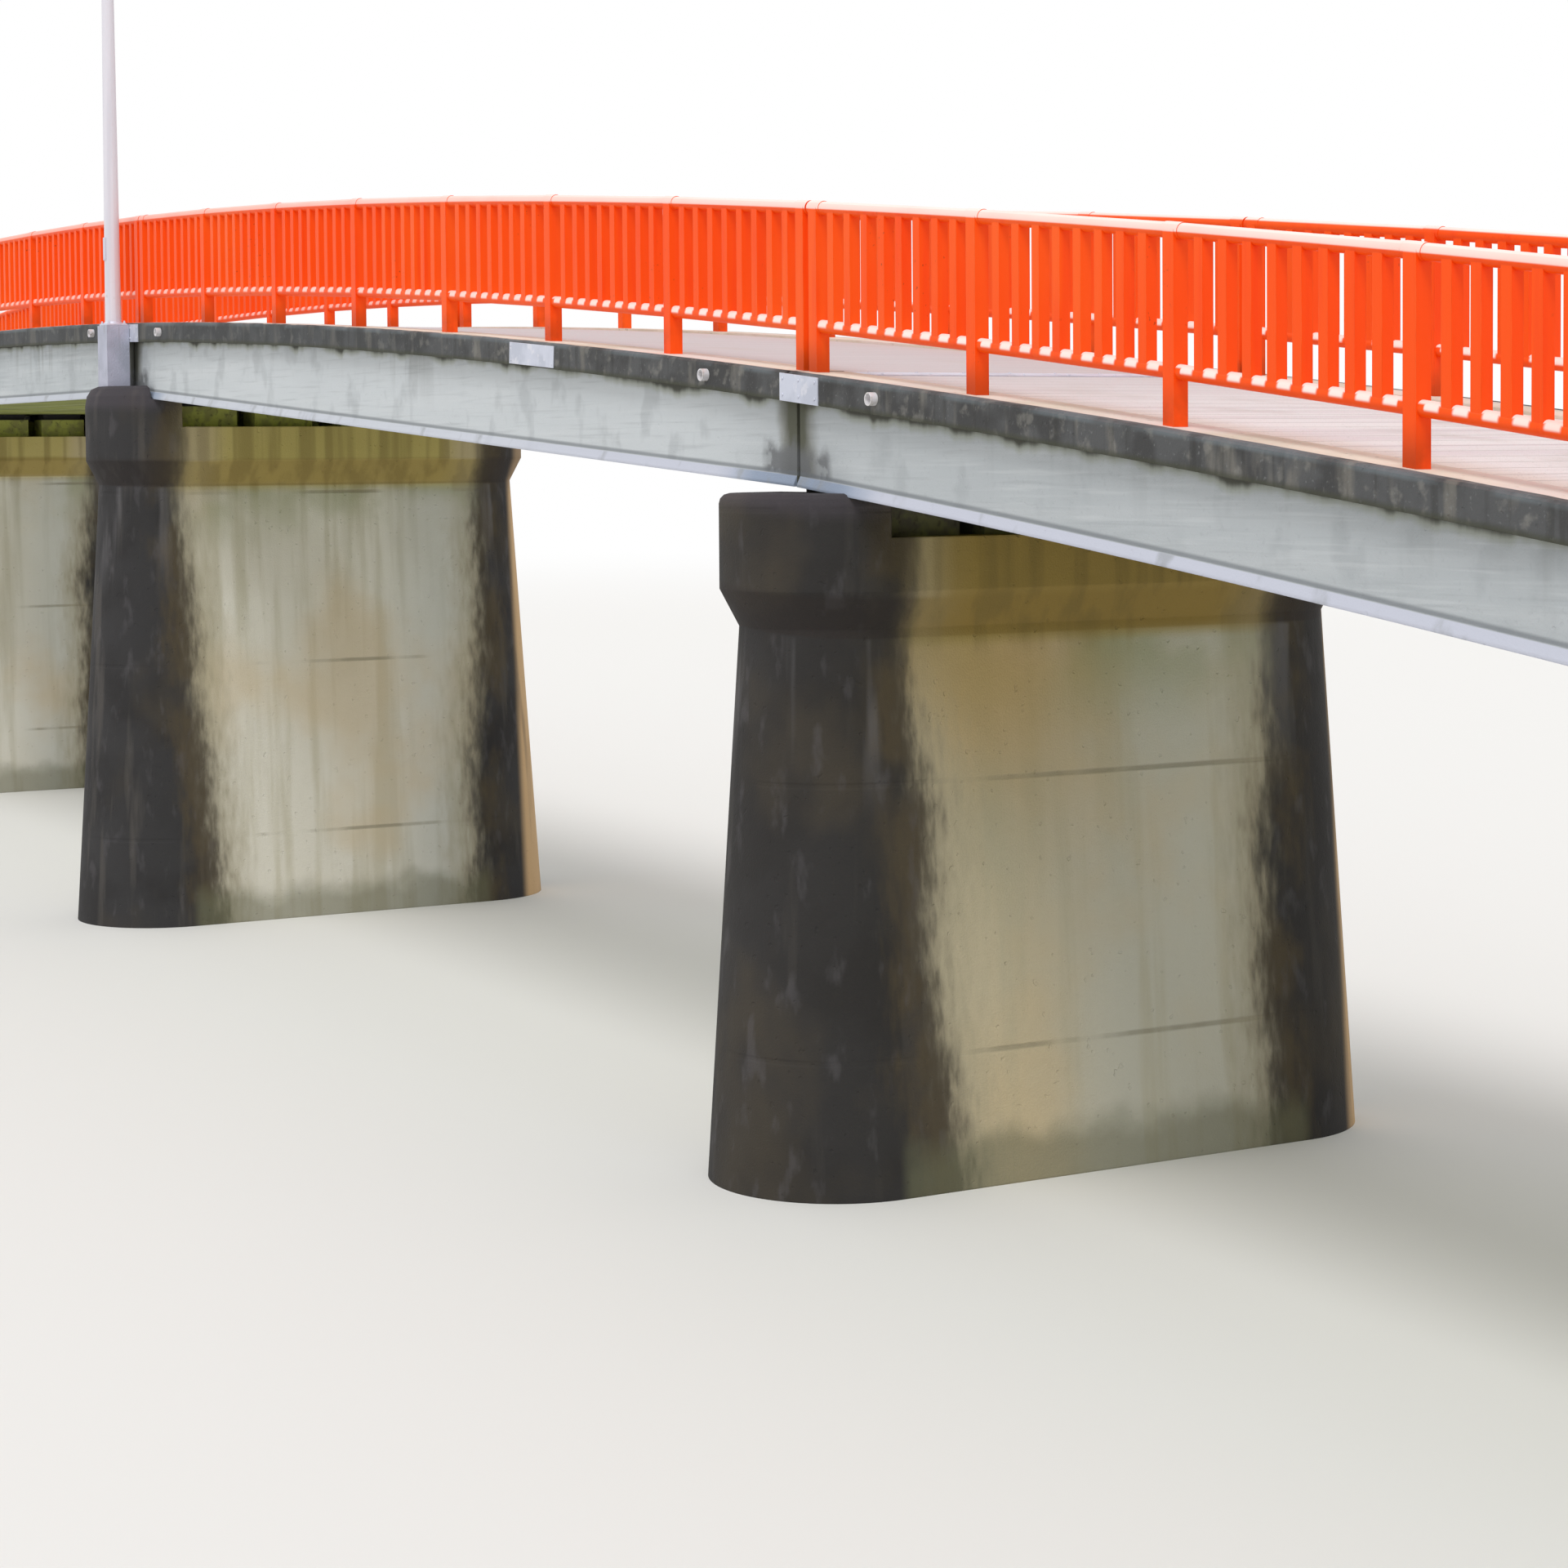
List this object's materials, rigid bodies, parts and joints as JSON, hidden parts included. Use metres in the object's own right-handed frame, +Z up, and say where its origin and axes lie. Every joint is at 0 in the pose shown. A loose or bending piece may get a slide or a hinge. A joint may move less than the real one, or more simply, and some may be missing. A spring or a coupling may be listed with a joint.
{
  "type": "arched footbridge, scale model 1:2",
  "caption": "Arched footbridge in a 1:2 scale: straight concrete girders on rounded wall piers, curved copings and vermilion railings with square balusters.",
  "frame": {"origin": "middle of the bridge's plan, on the ground that the piers stand on", "axes": "+X along the bridge towards the end near the camera, -Y the side that the picture shows, +Z up"},
  "size_m": [35.62, 2.6134, 5.5985],
  "materials": {
    "abutment_concrete": "weathered board-marked concrete",
    "pier_concrete": "weathered, streaked concrete, almost black on the round ends",
    "bearing_rubber": "matte",
    "girder_concrete": "smooth pale concrete with drip stains",
    "paving": "fine transverse lines",
    "coping_concrete": "dark weathered concrete",
    "railing_paint": "glossy vermilion paint",
    "joint_steel": "dull galvanised",
    "outlet_pipe": "weathered white",
    "lamp_paint": "satin pale grey paint"
  },
  "bodies": {
    "root": {"abutment_left": "abutment_concrete", "abutment_right": "abutment_concrete", "pier_1": "pier_concrete", "pier_2": "pier_concrete", "pier_3": "pier_concrete", "pier_4": "pier_concrete", "bearings_0": "bearing_rubber", "bearings_1": "bearing_rubber", "bearings_2": "bearing_rubber", "bearings_3": "bearing_rubber", "bearings_4": "bearing_rubber", "bearings_5": "bearing_rubber", "girders_1": "girder_concrete", "girders_2": "girder_concrete", "girders_3": "girder_concrete", "girders_4": "girder_concrete", "girders_5": "girder_concrete", "deck_slab_1": "paving", "deck_slab_2": "paving", "deck_slab_3": "paving", "deck_slab_4": "paving", "deck_slab_5": "paving", "copings_1": "coping_concrete", "copings_2": "coping_concrete", "copings_3": "coping_concrete", "copings_4": "coping_concrete", "copings_5": "coping_concrete", "railing_near_1": "railing_paint", "railing_near_2": "railing_paint", "railing_near_3": "railing_paint", "railing_near_4": "railing_paint", "railing_near_5": "railing_paint", "railing_far_1": "railing_paint", "railing_far_2": "railing_paint", "railing_far_3": "railing_paint", "railing_far_4": "railing_paint", "railing_far_5": "railing_paint", "joint_covers": "joint_steel", "drain_outlets": "outlet_pipe", "lamp_left": "lamp_paint", "lamp_right": "lamp_paint"}
  },
  "joints": []
}
